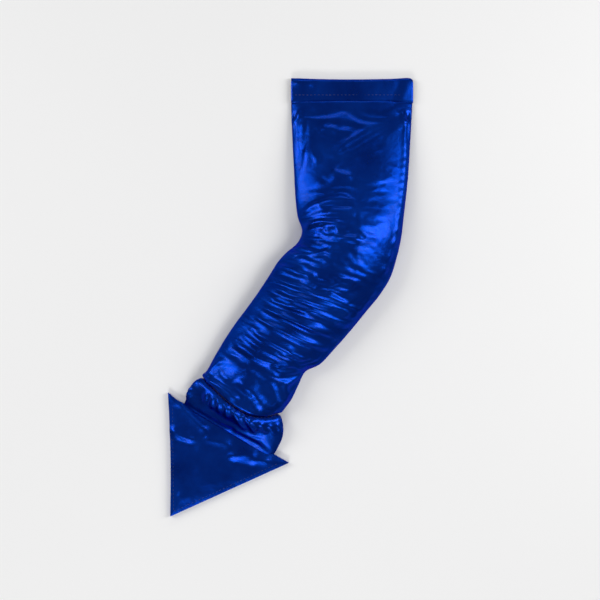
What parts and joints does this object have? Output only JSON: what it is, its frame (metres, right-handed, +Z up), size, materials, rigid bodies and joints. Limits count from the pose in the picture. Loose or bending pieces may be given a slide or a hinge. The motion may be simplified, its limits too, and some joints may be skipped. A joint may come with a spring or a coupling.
{
  "type": "costume tail",
  "caption": "Padded arrow-tipped costume tail in metallic blue cloth: hemmed belt casing, tube with a bendable elbow, gathered neck, puffed cuff and flat folding arrow.",
  "frame": {"origin": "under the middle of the overall box, on the surface the tail lies on", "axes": "+Z up off the surface, through the padding; +Y along the upper tube towards the belt casing, the longest extent; +X across the upper tube, towards the outside of the elbow; the shank and the arrow run towards -Y and -X"},
  "size_m": [0.321, 0.5726, 0.06],
  "materials": {
    "lame": "gloss",
    "lining": "matte",
    "thread": "satin",
    "wadding": "matte",
    "elastic": "matte",
    "stay_plastic": "satin",
    "rivet_steel": "satin",
    "foam_board": "matte"
  },
  "bodies": {
    "upper_tube": {"casing_seam_cord": "elastic", "upper_front_panel": "lame", "upper_back_panel": "lame", "upper_front_wadding": "wadding", "upper_back_wadding": "wadding", "upper_side_tapes": "lining", "top_seam_tapes": "lining", "upper_stay": "stay_plastic", "elbow_rivet": "rivet_steel", "elbow_front_wadding": "wadding", "elbow_back_wadding": "wadding", "elbow_front_panel": "lame", "elbow_back_panel": "lame"},
    "casing": {"belt_casing": "lame", "casing_stitching": "thread"},
    "shank": {"lower_front_panel": "lame", "lower_back_panel": "lame", "lower_front_wadding": "wadding", "lower_back_wadding": "wadding", "lower_side_tapes": "lining", "lower_stay": "stay_plastic", "friction_washer": "rivet_steel", "neck_elastic": "elastic", "neck_stitching": "thread", "cuff_front_panel": "lame", "cuff_back_panel": "lame", "cuff_wadding": "wadding", "neck_tab": "lining", "tab_rivets": "rivet_steel"},
    "arrow": {"arrow_front_panel": "lame", "arrow_back_panel": "lame", "arrow_board": "foam_board", "arrow_wadding": "wadding", "arrow_base_cord": "elastic", "base_seam_tapes": "lining", "arrow_stitching": "thread"}
  },
  "joints": [
    {"name": "casing_fold", "type": "hinge", "parent": "upper_tube", "child": "casing", "pos_m": [0.08051, 0.25632, 0.0045], "axis": [1, 0, 0], "range_deg": [0, 80]},
    {"name": "elbow_bend", "type": "hinge", "parent": "upper_tube", "child": "shank", "pos_m": [0.08051, 0.06032, 0.014], "axis": [0, 0, 1], "range_deg": [-35, 38], "deforming": ["elbow_front_panel", "elbow_back_panel"]},
    {"name": "arrow_fold", "type": "hinge", "parent": "shank", "child": "arrow", "pos_m": [-0.07975, -0.16829, 0.0045], "axis": [-0.8704, 0.4924, 0], "range_deg": [0, 45]}
  ]
}
